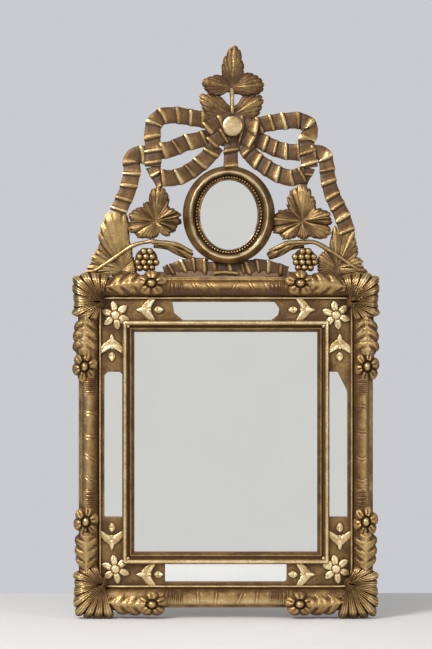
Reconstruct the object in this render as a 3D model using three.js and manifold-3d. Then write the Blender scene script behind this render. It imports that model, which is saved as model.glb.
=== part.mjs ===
// Giltwood wall mirror: a carved frame with margin glasses and an openwork crest.
// Millimetres, +Z up, the front faces -Y. The origin is on the back of the top rail, at its middle.
import * as THREE from 'three';
import { mergeVertices } from 'three/addons/utils/BufferGeometryUtils.js';
import Module from 'manifold-3d';

// Driving dimensions
const SIGHT_WIDTH = 304;
const SIGHT_HEIGHT = 365;
const SIGHT_MOULDING = 20;
const MARGIN = 34;
const RAIL = 38;
const RAIL_BODY = 24;
const HANG_LINE = 17;
const GAP = 0.3;

// Depths are measured forward from the wall
const PANEL_BACK = 11;
const PANEL_FRONT = 20 - GAP;
const GLASS = 3;
const BACKBOARD = 5.4;
const ROUND_FOOT = 21;
const ROUND_CREST = 36;
const CARVING_BACK = 20 + GAP;
const LEAF_FRONT = 45;
const FLOWER_FRONT = 48;
const FLOWER_REACH = [21, 26];
const PANEL_RELIEF = 4;

// Half-round of the rail: its middle in from the frame's outer edge, and its radius across
const ROUND_MIDDLE = 19;
const ROUND_RADIUS = 13.5;

// Glasses in the margin
const SIDE_GLASS_LENGTH = 241;
const SIDE_GLASS_DROP = 4;
const TOP_GLASS_LENGTH = 178;
const BOTTOM_GLASS_LENGTH = 202;
const GLASS_LAP = 6;

// Crest
const OVAL_CENTRE = [5, 102];
const OVAL_SIGHT = [47.5, 57.5];
const OVAL_OUTER = [76.5, 81.5];
const OVAL_REBATE = 5.5;
const RIBBON_WIDTH = 27;
const RIBBON_BACK = 3;
const PLEAT = 20;
const PLEAT_FOLD = 4.5;
const STEM_RADIUS = 4;
const BUTTON_RADIUS = 16.7;
const BERRY_RADIUS = 7.5;
const TONGUE = { place: 90, width: 50, length: 16, thickness: 8 };

const frameOuter = SIGHT_MOULDING + MARGIN + RAIL;
const halfWidth = SIGHT_WIDTH / 2 + frameOuter;
const halfHeight = SIGHT_HEIGHT / 2 + frameOuter;
const railBack = frameOuter - RAIL_BODY;

const wasm = await Module();
wasm.setup();

// A point by its place across and up, and its depth forward from the wall
const at = (x, z, depth) => new THREE.Vector3(x, -depth, z);

function signedVolume(points, faces) {
  let volume = 0;
  for (let i = 0; i < faces.length; i += 3) {
    const [a, b, c] = [points[faces[i]], points[faces[i + 1]], points[faces[i + 2]]];
    volume += a.dot(new THREE.Vector3().crossVectors(b, c)) / 6;
  }
  return volume;
}

function closedGeometry(points, faces) {
  const geometry = new THREE.BufferGeometry().setFromPoints(points);
  const outward = signedVolume(points, faces) > 0;
  geometry.setIndex(outward ? faces : faces.slice().reverse());
  return geometry;
}

// Closed skin over a row of rings with equal point counts; a loop joins the last ring to the first
function loft(rings, loop = false) {
  const size = rings[0].length;
  const last = (rings.length - 1) * size;
  const faces = [];
  for (let i = 0; i < (loop ? rings.length : rings.length - 1); i++) {
    const here = i * size;
    const next = ((i + 1) % rings.length) * size;
    for (let k = 0; k < size; k++) {
      const m = (k + 1) % size;
      faces.push(here + k, next + k, next + m, here + k, next + m, here + m);
    }
  }
  for (let k = 1; k < size - 1 && !loop; k++) {
    faces.push(0, k, k + 1, last, last + k + 1, last + k);
  }
  return closedGeometry(rings.flat(), faces);
}

function solid(geometry) {
  const bare = geometry.clone();
  bare.deleteAttribute('normal');
  bare.deleteAttribute('uv');
  const merged = mergeVertices(bare, 1e-4);
  const vertProperties = new Float32Array(merged.attributes.position.array);
  const triVerts = new Uint32Array(merged.index.array);
  return new wasm.Manifold(new wasm.Mesh({ numProp: 3, vertProperties, triVerts }));
}

function geometryOf(manifold) {
  const mesh = manifold.getMesh();
  const geometry = new THREE.BufferGeometry();
  geometry.setAttribute('position', new THREE.BufferAttribute(new Float32Array(mesh.vertProperties), 3));
  geometry.setIndex(Array.from(mesh.triVerts));
  return geometry;
}

function joined(geometries) {
  return geometries.map(solid).reduce((whole, next) => whole.add(next));
}

function mirroredX(geometry) {
  const copy = geometry.clone().scale(-1, 1, 1);
  copy.setIndex(Array.from(copy.index.array).reverse());
  return copy;
}

function mirroredZ(geometry) {
  const copy = geometry.clone().scale(1, 1, -1);
  copy.setIndex(Array.from(copy.index.array).reverse());
  return copy;
}

// A block between two corners across and up, and between two depths
function block([x0, z0], [x1, z1], back, front) {
  const box = new THREE.BoxGeometry(x1 - x0, front - back, z1 - z0);
  return box.translate((x0 + x1) / 2, -(back + front) / 2, (z0 + z1) / 2);
}

// A flat shape drawn across and up, thickened between two depths
function slab(shape, back, front) {
  const geometry = new THREE.ExtrudeGeometry(shape, { depth: front - back, bevelEnabled: false });
  return geometry.rotateX(Math.PI / 2).translate(0, -back, 0);
}

// A moulding run round a rectangle with mitred corners: the section is [distance out, depth]
function mitredRun(section, halfAcross, halfUp) {
  const corners = [[-1, -1], [1, -1], [1, 1], [-1, 1]];
  const ring = ([sx, sz]) => section.map(
    ([out, depth]) => at(sx * (halfAcross + out), sz * (halfUp + out), depth));
  return loft(corners.map(ring), true);
}

// Outline stations of a lobed form around its heart: the tips in turn, with a notch between neighbours.
// A round lobe has two shoulders in place of its tip; a wide open side is closed by a short heel.
function lobedStations([x, z], tips, { notch = 0.75, heel = 5, round = false } = {}) {
  const turn = 2 * Math.PI;
  const reaches = tips.map(([tx, tz]) => ({
    angle: Math.atan2(tz - z, tx - x),
    reach: Math.hypot(tx - x, tz - z),
  })).sort((a, b) => a.angle - b.angle);
  return reaches.flatMap((tip, i) => {
    const next = reaches[(i + 1) % reaches.length];
    const before = reaches[(i + reaches.length - 1) % reaches.length];
    const ahead = ((next.angle - tip.angle + turn) % turn) || turn;
    const behind = ((tip.angle - before.angle + turn) % turn) || turn;
    const spread = 0.32 * Math.min(ahead, behind, 1.2);
    const crowns = round
      ? [-spread, spread].map((side) => ({ angle: tip.angle + side, reach: tip.reach, lift: 1 }))
      : [{ ...tip, lift: 1 }];
    const heelCount = ahead > 1.7 ? Math.ceil(ahead / 1.3) - 1 : 1;
    const notches = Array.from({ length: heelCount }, (unused, k) => ({
      angle: tip.angle + ahead * (k + 1) / (heelCount + 1),
      reach: ahead > 1.7 ? heel : notch * Math.min(tip.reach, next.reach),
      lift: 0,
    }));
    return [...crowns, ...notches];
  });
}

// Outline stations from the outline's own points: the points that stand out are its tips
function outlineStations([x, z], outline) {
  const polar = outline.map(([px, pz]) => ({
    angle: Math.atan2(pz - z, px - x),
    reach: Math.hypot(px - x, pz - z),
  })).sort((a, b) => a.angle - b.angle);
  return polar.map((point, i) => {
    const before = polar[(i + polar.length - 1) % polar.length];
    const after = polar[(i + 1) % polar.length];
    return { ...point, lift: point.reach > (before.reach + after.reach) / 2 ? 1 : 0.3 };
  });
}

// Carved relief over outline stations: a level has its share of the reach, and depths at notch and tip
function relief([x, z], stations, summit, levels, back) {
  const points = [at(x, z, summit)];
  const rims = [...levels, { share: 0.97, low: back, high: back }];
  for (const { share, low, high } of rims) {
    for (const { angle, reach, lift } of stations) {
      const away = reach * share;
      points.push(at(x + away * Math.cos(angle), z + away * Math.sin(angle), low + (high - low) * lift));
    }
  }
  points.push(at(x, z, back));
  const count = stations.length;
  const end = points.length - 1;
  const faces = [];
  for (let i = 0; i < count; i++) {
    const j = (i + 1) % count;
    faces.push(0, 1 + i, 1 + j);
    for (let k = 0; k < rims.length - 1; k++) {
      const [inner, outer] = [1 + k * count, 1 + (k + 1) * count];
      faces.push(inner + i, outer + i, outer + j, inner + i, outer + j, inner + j);
    }
    faces.push(end, end - count + j, end - count + i);
  }
  return closedGeometry(points, faces);
}

// A flower of equal petals around a domed heart, with its reach across and up
function flower([x, z], [across, up], back, front) {
  const petals = 5;
  const rise = front - back;
  const tips = Array.from({ length: petals }, (unused, i) => {
    const angle = 2 * Math.PI * (i + 0.25) / petals;
    return [x + across * Math.cos(angle), z + up * Math.sin(angle)];
  });
  const levels = [
    { share: 0.34, low: back + 0.6 * rise, high: back + 0.7 * rise },
    { share: 0.72, low: back + 0.5 * rise, high: back + 0.82 * rise },
    { share: 1, low: back + 0.35 * rise, high: back + 0.6 * rise },
  ];
  return relief([x, z], lobedStations([x, z], tips, { notch: 0.74, round: true }), front, levels, back);
}

// A leaf in relief over its stations: it swells from its edge to its ribs
function leaf(heart, stations, back, front) {
  const rise = front - back;
  const levels = [
    { share: 0.5, low: back + 0.55 * rise, high: back + rise },
    { share: 1, low: back + 0.3 * rise, high: back + 0.5 * rise },
  ];
  return relief(heart, stations, back + 0.9 * rise, levels, back);
}

// A leaf with lobes at its tips, and one cut to an outline
function lobedLeaf(heart, tips, back, front, options) {
  return leaf(heart, lobedStations(heart, tips, options), back, front);
}

function cutLeaf(heart, outline, back, front) {
  return leaf(heart, outlineStations(heart, outline), back, front);
}

// Pleated ribbon along a centreline, with its width at the start and at the end
function ribbon(centreline, front, startWidth = RIBBON_WIDTH, endWidth = startWidth) {
  const curve = new THREE.SplineCurve(centreline.map(([x, z]) => new THREE.Vector2(x, z)));
  const folds = 2 * Math.max(1, Math.round(curve.getLength() / PLEAT));
  const rings = Array.from({ length: folds + 1 }, (unused, i) => {
    const along = i / folds;
    const middle = curve.getPointAt(along);
    const way = curve.getTangentAt(along);
    const raised = i % 2;
    const half = THREE.MathUtils.lerp(startWidth, endWidth, along) / 2 + (raised ? 0.7 : -0.7);
    const [dx, dz] = [-way.y * half, way.x * half];
    const depth = front - (raised ? 0 : PLEAT_FOLD);
    return [
      at(middle.x + dx, middle.y + dz, RIBBON_BACK),
      at(middle.x + dx, middle.y + dz, depth),
      at(middle.x - dx, middle.y - dz, depth),
      at(middle.x - dx, middle.y - dz, RIBBON_BACK),
    ];
  });
  return loft(rings);
}

// A round stem along a centreline at one depth
function stem(centreline, radius, depth) {
  const curve = new THREE.SplineCurve(centreline.map(([x, z]) => new THREE.Vector2(x, z)));
  const steps = Math.max(2, Math.round(curve.getLength() / 24));
  const rings = Array.from({ length: steps + 1 }, (unused, i) => {
    const middle = curve.getPointAt(i / steps);
    const way = curve.getTangentAt(i / steps);
    return Array.from({ length: 5 }, (none, k) => {
      const angle = k * 2 * Math.PI / 5;
      const side = radius * Math.cos(angle);
      return at(middle.x - way.y * side, middle.y + way.x * side, depth + radius * Math.sin(angle));
    });
  });
  return loft(rings);
}

// Outer frame: a half-round rail with an inner bead, carved at its corners
function railSection() {
  const middle = frameOuter - ROUND_MIDDLE;
  const half = Array.from({ length: 6 }, (unused, i) => {
    const angle = Math.PI * (1 - (i + 0.5) / 6);
    const rise = (ROUND_CREST - ROUND_FOOT) * Math.sin(angle);
    return [middle + ROUND_RADIUS * Math.cos(angle), ROUND_FOOT + rise];
  });
  const lip = frameOuter - RAIL;
  return [
    [lip, PANEL_FRONT + GAP], [lip + 0.7, 23.5], [lip + 3, 24.5], [lip + 5, 22.5],
    ...half,
    [frameOuter - 5, ROUND_FOOT], [frameOuter, ROUND_FOOT - 2],
    [frameOuter, 0], [railBack, 0], [railBack, PANEL_FRONT + GAP],
  ];
}

// Corner carving of the top left, placed in from the frame's outer corner, [across, down]
function cornerCarving({ fanHeart, fanTips, fallLeaf, runLeaf, fallFlower, runFlower }) {
  const place = ([across, down]) => [across - halfWidth, halfHeight - down];
  const fanLevels = [
    { share: 0.65, low: 32, high: 44 },
    { share: 1, low: 25, high: 32 },
  ];
  const lobes = { notch: 0.9, heel: 4, round: true };
  const fanStations = lobedStations(place(fanHeart), fanTips.map(place), lobes);
  const leafOf = ({ heart, outline }) => cutLeaf(place(heart), outline.map(place), CARVING_BACK, LEAF_FRONT);
  const [narrow, long] = FLOWER_REACH;
  return [
    relief(place(fanHeart), fanStations, 40, fanLevels, CARVING_BACK),
    leafOf(fallLeaf),
    leafOf(runLeaf),
    flower(place(fallFlower), [narrow, long], CARVING_BACK, FLOWER_FRONT),
    flower(place(runFlower), [long, narrow], CARVING_BACK, FLOWER_FRONT),
  ];
}

const TOP_CORNER = {
  fanHeart: [37, 40],
  fanTips: [[-8, 34], [-10, 15], [-7, -6], [18, -6], [45, -3]],
  fallLeaf: {
    heart: [13, 88],
    outline: [
      [16, 45], [31, 62], [31, 104], [18, 130], [-7, 124], [-9, 108], [-6, 100], [-10, 86],
      [-5, 76], [-9, 62], [-3, 47],
    ],
  },
  runLeaf: {
    heart: [78, 14],
    outline: [[52, 16], [62, -1], [78, -4], [92, 0], [104, 10], [98, 26], [84, 31], [64, 30]],
  },
  fallFlower: [11, 149],
  runFlower: [121, 11],
};
const BOTTOM_CORNER = {
  fanHeart: [41, 40],
  fanTips: [[-7, 28], [-8, 8], [-4, -14], [24, -17], [52, -17]],
  fallLeaf: {
    heart: [13, 84],
    outline: [
      [18, 40], [33, 58], [31, 100], [18, 124], [-3, 116], [-6, 100], [-3, 90], [-6, 76],
      [-3, 68], [-9, 56], [-4, 42],
    ],
  },
  runLeaf: {
    heart: [78, 10],
    outline: [[50, 14], [62, -6], [80, -10], [96, -6], [106, 2], [98, 22], [84, 28], [64, 28]],
  },
  fallFlower: [13, 144],
  runFlower: [122, 8],
};

function outerFrame() {
  const topLeft = cornerCarving(TOP_CORNER);
  const bottomLeft = cornerCarving(BOTTOM_CORNER).map(mirroredZ);
  const left = [...topLeft, ...bottomLeft];
  const rail = mitredRun(railSection(), SIGHT_WIDTH / 2, SIGHT_HEIGHT / 2);
  let frame = joined([rail, ...left, ...left.map(mirroredX)]);
  for (const side of [-1, 1]) {
    const half = TONGUE.width / 2 + GAP;
    const foot = halfHeight - TONGUE.length - 2 * GAP;
    const recess = block(
      [side * TONGUE.place - half, foot], [side * TONGUE.place + half, halfHeight + 5],
      -5, TONGUE.thickness + GAP);
    frame = frame.subtract(solid(recess));
  }
  return geometryOf(frame);
}

// Margin panel: a flat band with four shaped openings and low relief at its corners
function openingShape(points) {
  return new THREE.Shape(points.map(([x, z]) => new THREE.Vector2(x, z)));
}

const marginNear = SIGHT_MOULDING - 2;
const marginFar = SIGHT_MOULDING + MARGIN - 4;

function marginOpenings() {
  const [w, h] = [SIGHT_WIDTH / 2, SIGHT_HEIGHT / 2];
  const sideTop = SIDE_GLASS_LENGTH / 2 - SIDE_GLASS_DROP;
  const sideFoot = sideTop - SIDE_GLASS_LENGTH;
  const topHalf = TOP_GLASS_LENGTH / 2;
  const bottomHalf = BOTTOM_GLASS_LENGTH / 2;
  return {
    left: openingShape([
      [-w - marginNear, sideFoot], [-w - marginNear, sideTop - 6], [-w - marginNear - 6, sideTop],
      [-w - marginFar + 6, sideTop], [-w - marginFar, sideTop - 6], [-w - marginFar, sideFoot],
    ]),
    right: openingShape([
      [w + marginNear, sideFoot], [w + marginFar, sideFoot], [w + marginFar, sideTop - 34],
      [w + marginFar - 2, sideTop - 28], [w + marginFar - 16, sideTop], [w + marginNear, sideTop],
    ]),
    top: openingShape([
      [-topHalf + 20, h + marginNear], [topHalf - 16, h + marginNear], [topHalf - 2, h + marginNear + 11],
      [topHalf, h + marginFar - 11], [topHalf - 8, h + marginFar],
      [-topHalf, h + marginFar], [-topHalf + 3, h + marginNear + 14],
    ]),
    bottom: openingShape([
      [-bottomHalf, -h - marginFar], [bottomHalf - 3, -h - marginFar], [bottomHalf, -h - marginFar + 3],
      [bottomHalf, -h - marginNear], [-bottomHalf, -h - marginNear],
    ]),
  };
}

// One corner's low relief at the top left: a flower with a sprig down the side and one along the top
function cornerRelief() {
  const place = ([across, down]) => [across - halfWidth, halfHeight - down];
  const swapped = (point) => [...point].reverse();
  const heart = [56, 117];
  const outline = [
    [55, 94], [62, 110], [71, 114], [67, 126], [60, 122], [56, 141], [52, 122], [46, 126],
    [41, 114], [49, 110],
  ];
  const low = PANEL_FRONT - 1;
  const high = PANEL_FRONT + PANEL_RELIEF;
  const sprig = (turned) => cutLeaf(place(turned(heart)), outline.map(turned).map(place), low, high);
  return [
    flower(place([62, 64]), [FLOWER_REACH[0], FLOWER_REACH[0]], low, high + 3),
    sprig((point) => point),
    sprig(swapped),
  ];
}

function marginPanel() {
  const outer = railBack - GAP;
  const inner = SIGHT_MOULDING / 2;
  const band = [[inner, PANEL_BACK], [inner, PANEL_FRONT], [outer, PANEL_FRONT], [outer, PANEL_BACK]];
  const board = mitredRun(band, SIGHT_WIDTH / 2, SIGHT_HEIGHT / 2);
  const left = cornerRelief();
  const top = [...left, ...left.map(mirroredX)];
  let panel = joined([board, ...top, ...top.map(mirroredZ)]);
  const flange = SIGHT_MOULDING + GAP;
  const [across, up] = [SIGHT_WIDTH / 2 + flange, SIGHT_HEIGHT / 2 + flange];
  panel = panel.subtract(solid(block([-across, -up], [across, up], PANEL_FRONT, PANEL_FRONT + 20)));
  for (const shape of Object.values(marginOpenings())) {
    panel = panel.subtract(solid(slab(shape, PANEL_BACK - 5, PANEL_FRONT + 20)));
  }
  return geometryOf(panel);
}

// Sight moulding: a tongue in the panel's opening and a flange with an outer bead and an inner one
function sightMoulding() {
  const tongue = SIGHT_MOULDING / 2 - GAP;
  const seat = PANEL_FRONT + GAP;
  const section = [
    [0, PANEL_BACK], [0, 16.5], [4, 20], [6, 22.5], [8.5, 20.2], [10.5, 22], [12.5, 27], [16, 28.5],
    [19, 26], [SIGHT_MOULDING, seat], [tongue, seat], [tongue, PANEL_BACK],
  ];
  return mitredRun(section, SIGHT_WIDTH / 2, SIGHT_HEIGHT / 2);
}

// Crest: the oval frame, the ribbon bow with its button, leaves, stems, grapes and the ribbon at its foot
function ovalFrame() {
  const rebate = OVAL_REBATE / (OVAL_OUTER[0] - OVAL_SIGHT[0]);
  const section = [
    [0, 15 + GAP], [0.1, 24], [0.25, 20.5], [0.45, 33], [0.65, 35], [1, 18],
    [1, 1], [rebate, 1], [rebate, 15 + GAP],
  ];
  const stations = 24;
  const rings = Array.from({ length: stations }, (unused, i) => {
    const angle = 2 * Math.PI * i / stations;
    return section.map(([share, depth]) => {
      const [across, up] = OVAL_SIGHT.map((sight, k) => THREE.MathUtils.lerp(sight, OVAL_OUTER[k], share));
      return at(OVAL_CENTRE[0] + across * Math.cos(angle), OVAL_CENTRE[1] + up * Math.sin(angle), depth);
    });
  });
  return loft(rings, true);
}

const ovalRim = OVAL_SIGHT.map((half) => half + OVAL_REBATE);

function bow() {
  return [
    ribbon([[0, 249], [-30, 259], [-56, 264], [-83, 268], [-118, 268]], 18),
    ribbon([[-110, 274], [-119, 258], [-122, 238], [-121, 214], [-121, 183]], 21),
    ribbon([[-20, 233], [-50, 226], [-70, 221], [-88, 213], [-110, 208]], 17),
    ribbon([[-15, 218], [-30, 199], [-48, 183], [-66, 171], [-86, 164], [-108, 164]], 20),
    ribbon([[-128, 201], [-165, 201]], 17, 30),
    ribbon([[-155, 196], [-156, 174], [-160, 156], [-165, 139], [-180, 106]], 19),
    ribbon([[-121, 183], [-109, 146]], 16, 26, 8),
    ribbon([[17, 246], [44, 249], [67, 254], [94, 259], [144, 258]], 18),
    ribbon([[145, 270], [140, 249], [134, 231], [134, 214], [140, 181]], 21),
    ribbon([[35, 236], [60, 224], [80, 214], [100, 208], [124, 206]], 17),
    ribbon([[29, 221], [45, 199], [65, 183], [87, 170], [109, 164], [132, 171]], 20),
    ribbon([[160, 220], [167, 194], [170, 164], [177, 136], [194, 99], [202, 72]], 19),
    ribbon([[137, 206], [161, 209]], 16, 24),
    ribbon([[137, 181], [128, 148]], 16, 25, 8),
  ];
}

function knot() {
  const heart = [10, 248];
  const profile = [[0, 10], [BUTTON_RADIUS - 0.7, 10], [BUTTON_RADIUS, 31], [12, 35.5], [0, 36]];
  const button = new THREE.LatheGeometry(profile.map(([r, d]) => new THREE.Vector2(r, d)), 12);
  button.rotateX(Math.PI).translate(heart[0], 0, heart[1]);
  const folds = [[-28, 252], [-22, 226], [44, 226], [46, 250], [30, 276], [-8, 276]];
  return [
    button,
    lobedLeaf(heart, folds, RIBBON_BACK, 26, { notch: 0.9 }),
    ribbon([[9, 226], [8, 178]], 20, 24),
  ];
}

function finial() {
  const crown = [
    [29, 306], [46, 300], [62, 306], [62, 325], [50, 336], [31, 339], [30, 353], [22, 379], [15, 385],
    [5, 378], [-5, 353], [-2, 338], [-28, 333], [-40, 324], [-36, 310], [-22, 302], [10, 301],
  ];
  const skirt = [
    [35, 267], [50, 266], [59, 278], [63, 296], [54, 301], [29, 290], [11, 284],
    [-4, 291], [-29, 303], [-43, 300], [-40, 287], [-21, 268], [10, 256],
  ];
  return [
    cutLeaf([10, 314], crown, RIBBON_BACK, 20),
    cutLeaf([10, 272], skirt, RIBBON_BACK, 18),
    stem([[10, 312], [11, 270]], STEM_RADIUS - 0.5, 15),
  ];
}

function vine() {
  const leftLeaf = [
    [-111, 148], [-122, 142], [-135, 127], [-137, 110], [-155, 109], [-163, 96], [-156, 70], [-133, 63],
    [-110, 60], [-97, 70], [-80, 88], [-76, 103], [-88, 117], [-91, 126], [-97, 142],
  ];
  const rightLeaf = [
    [127, 152], [139, 146], [146, 130], [145, 117], [166, 113], [175, 100], [174, 67], [152, 62], [127, 58],
    [104, 62], [88, 68], [78, 88], [77, 108], [97, 112], [105, 122], [110, 138], [118, 148],
  ];
  return [
    cutLeaf([-117, 92], leftLeaf, RIBBON_BACK, 21),
    cutLeaf([127, 92], rightLeaf, RIBBON_BACK, 21),
    stem([[-218, 9], [-188, 29], [-155, 51], [-123, 59]], STEM_RADIUS, 13),
    stem([[-123, 58], [-93, 55], [-76, 51], [-56, 40]], STEM_RADIUS, 14),
    stem([[129, 57], [149, 56], [179, 39], [222, 9]], STEM_RADIUS, 13),
    stem([[131, 57], [104, 56], [90, 50], [72, 42]], STEM_RADIUS, 14),
    lobedLeaf([-80, 38], [[-98, 46], [-80, 50], [-58, 28], [-84, 26]], RIBBON_BACK, 20, { notch: 0.9 }),
    lobedLeaf([92, 38], [[110, 46], [92, 50], [72, 28], [96, 24]], RIBBON_BACK, 20, { notch: 0.9 }),
  ];
}

function sideLeaves() {
  const leftLeaf = [
    [-191, 108], [-204, 92], [-214, 62], [-211, 50], [-223, 27], [-232, 8], [-229, 2], [-190, 2], [-148, 2],
    [-155, 24], [-160, 60], [-163, 102], [-176, 111],
  ];
  const rightLeaf = [
    [176, 83], [196, 80], [214, 76], [220, 66], [219, 48], [230, 24], [236, 10], [235, 2], [195, 2], [155, 2],
    [154, 30], [168, 42],
  ];
  return [
    cutLeaf([-180, 46], leftLeaf, 2, 15),
    cutLeaf([194, 42], rightLeaf, 2, 15),
  ];
}

// A bunch of grapes: rows of berries on a carved ground, the middle berries standing forward
function bunch([x, z], rows) {
  const pitch = 11.5;
  const rowRise = 11;
  const berries = rows.flatMap((count, row) => Array.from({ length: count }, (unused, i) => {
    const off = (i - (count - 1) / 2) * pitch;
    const centre = at(x + off, z + row * rowRise, 20 - Math.abs(off) * 0.25);
    return new THREE.IcosahedronGeometry(BERRY_RADIUS, 0).translate(centre.x, centre.y, centre.z);
  }));
  const middle = z + rowRise * (rows.length - 1) / 2;
  const half = 16;
  const ground = [
    [x - half, middle - 14], [x + half, middle - 14], [x + half, middle + 22], [x - half, middle + 22],
  ];
  return [lobedLeaf([x, middle], ground, RIBBON_BACK, 23, { notch: 0.95 }), ...berries];
}

function foot() {
  return [
    ribbon([[-103, 11], [-76, 18], [-51, 21], [5, 16], [54, 19], [77, 14], [102, 11]], 15, 21),
    lobedLeaf([-51, 21], [[-71, 14], [-68, 30], [-36, 33], [-31, 12]], RIBBON_BACK, 19, { notch: 0.95 }),
    block([-102, GAP], [106, 9], 2, 12),
    ...[-1, 1].map((side) => block(
      [side * TONGUE.place - TONGUE.width / 2, -TONGUE.length],
      [side * TONGUE.place + TONGUE.width / 2, 8],
      GAP, TONGUE.thickness)),
  ];
}

function crest() {
  const carving = joined([
    ...bow(), ...knot(), ...finial(), ...vine(), ...sideLeaves(), ...foot(),
    ...bunch([-133, 19], [2, 3, 2]),
    ...bunch([131, 19], [2, 3, 2]),
  ]);
  const [across, up] = ovalRim;
  const bore = ellipseSlab(across, up, -5, 60);
  return geometryOf(carving.subtract(solid(bore)).add(solid(ovalFrame())));
}

function ellipseSlab(across, up, back, front) {
  const shape = new THREE.Shape();
  shape.absellipse(OVAL_CENTRE[0], OVAL_CENTRE[1], across, up, 0, 2 * Math.PI);
  return slab(shape, back, front);
}

// Materials
const gilt = new THREE.MeshStandardMaterial({ color: 0x9a7740, roughness: 0.45, metalness: 0.6 });
const silvered = new THREE.MeshStandardMaterial({ color: 0xd0d0cc, roughness: 0.05, metalness: 1 });
const bareWood = new THREE.MeshStandardMaterial({ color: 0x6b4c31, roughness: 0.8, metalness: 0 });

function piece(name, geometry, material) {
  const mesh = new THREE.Mesh(geometry, material);
  mesh.name = name;
  return mesh;
}

// A rectangular plate of silvered glass lying behind its opening
function plate(name, [x0, z0], [x1, z1]) {
  const front = PANEL_BACK - GAP;
  const geometry = new THREE.BoxGeometry(x1 - x0, GLASS, z1 - z0);
  const mesh = piece(name, geometry, silvered);
  mesh.position.set((x0 + x1) / 2, -(front - GLASS / 2), (z0 + z1) / 2);
  return mesh;
}

function marginPlates() {
  return Object.entries(marginOpenings()).map(([side, shape]) => {
    const box = new THREE.Box2().setFromPoints(shape.getPoints());
    box.expandByScalar(GLASS_LAP);
    return plate(`margin_mirror_${side}`, box.min.toArray(), box.max.toArray());
  });
}

function mainPlate() {
  const across = SIGHT_WIDTH / 2 + GLASS_LAP;
  const up = SIGHT_HEIGHT / 2 + GLASS_LAP;
  return plate('main_mirror', [-across, -up], [across, up]);
}

function backboard() {
  const across = 2 * (SIGHT_WIDTH / 2 + railBack - GAP);
  const up = 2 * (SIGHT_HEIGHT / 2 + railBack - GAP);
  const mesh = piece('backboard', new THREE.BoxGeometry(across, BACKBOARD, up), bareWood);
  const front = PANEL_BACK - GAP - GLASS - GAP;
  mesh.position.y = -(front - BACKBOARD / 2);
  return mesh;
}

const mirror = new THREE.Group();

const frameGroup = new THREE.Group();
frameGroup.position.z = HANG_LINE - halfHeight;
frameGroup.add(
  piece('outer_frame', outerFrame(), gilt),
  piece('margin_panel', marginPanel(), gilt),
  piece('sight_moulding', sightMoulding(), gilt),
  mainPlate(),
  ...marginPlates(),
  backboard(),
);
mirror.add(frameGroup);

const crestGroup = new THREE.Group();
crestGroup.position.z = HANG_LINE + GAP;
const [plateAcross, plateUp] = ovalRim.map((half) => half - 1);
crestGroup.add(
  piece('crest', crest(), gilt),
  piece('oval_mirror', ellipseSlab(plateAcross, plateUp, 12, 15), silvered),
  piece('oval_backboard', ellipseSlab(plateAcross, plateUp, 6, 12 - GAP), bareWood),
);
mirror.add(crestGroup);

export default mirror;
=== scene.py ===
import bpy
import numpy as np
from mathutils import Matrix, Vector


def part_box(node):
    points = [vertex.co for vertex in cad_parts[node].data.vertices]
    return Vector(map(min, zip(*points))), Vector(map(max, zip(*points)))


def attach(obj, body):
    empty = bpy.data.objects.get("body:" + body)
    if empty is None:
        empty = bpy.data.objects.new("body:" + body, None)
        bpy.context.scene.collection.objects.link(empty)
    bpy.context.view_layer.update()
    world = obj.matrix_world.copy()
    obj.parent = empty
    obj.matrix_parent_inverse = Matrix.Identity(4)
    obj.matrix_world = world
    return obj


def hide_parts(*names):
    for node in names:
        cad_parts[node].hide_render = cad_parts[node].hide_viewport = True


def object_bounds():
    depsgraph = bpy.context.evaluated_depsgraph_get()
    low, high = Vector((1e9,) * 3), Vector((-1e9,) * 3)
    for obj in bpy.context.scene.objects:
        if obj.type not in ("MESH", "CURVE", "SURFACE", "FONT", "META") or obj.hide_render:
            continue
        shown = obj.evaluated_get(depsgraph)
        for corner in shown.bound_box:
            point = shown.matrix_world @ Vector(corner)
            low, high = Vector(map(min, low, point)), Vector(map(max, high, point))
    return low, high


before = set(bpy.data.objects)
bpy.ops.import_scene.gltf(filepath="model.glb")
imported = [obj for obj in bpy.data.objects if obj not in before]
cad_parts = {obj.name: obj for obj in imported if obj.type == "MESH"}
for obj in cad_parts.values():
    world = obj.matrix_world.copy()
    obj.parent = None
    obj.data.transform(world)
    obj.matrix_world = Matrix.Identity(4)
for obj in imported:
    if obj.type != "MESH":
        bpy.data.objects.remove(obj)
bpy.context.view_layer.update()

# Outer frame: four lengths of carved wood mitred into a rectangle, a half-round rail with a small bead
# inside it, and a fan, two leaves and two flowers carved at each corner. The wood is gessoed and laid
# with gold leaf over red bole, burnished, then rubbed and darkened by age. Its colour also carries
# painted highlights on crests and edges and painted shade in grooves and hollows.
MM = 0.001
GLASS_LAP = 6
glass_low, glass_high = (np.array(corner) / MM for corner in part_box("main_mirror"))
SIGHT_ACROSS, _, SIGHT_UP = (glass_high - glass_low) / 2 - GLASS_LAP
FRAME_MIDDLE = ((glass_low + glass_high) / 2)[2]
RAIL_LIP = 54
RAIL_BACK = 68
RAIL_OUTER = 92
HALF_ACROSS = SIGHT_ACROSS + RAIL_OUTER
HALF_UP = SIGHT_UP + RAIL_OUTER


def smooth(value):
    """Eases a share that runs from 0 to 1."""
    value = np.clip(value, 0, 1)
    return value * value * (3 - 2 * value)


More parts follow.
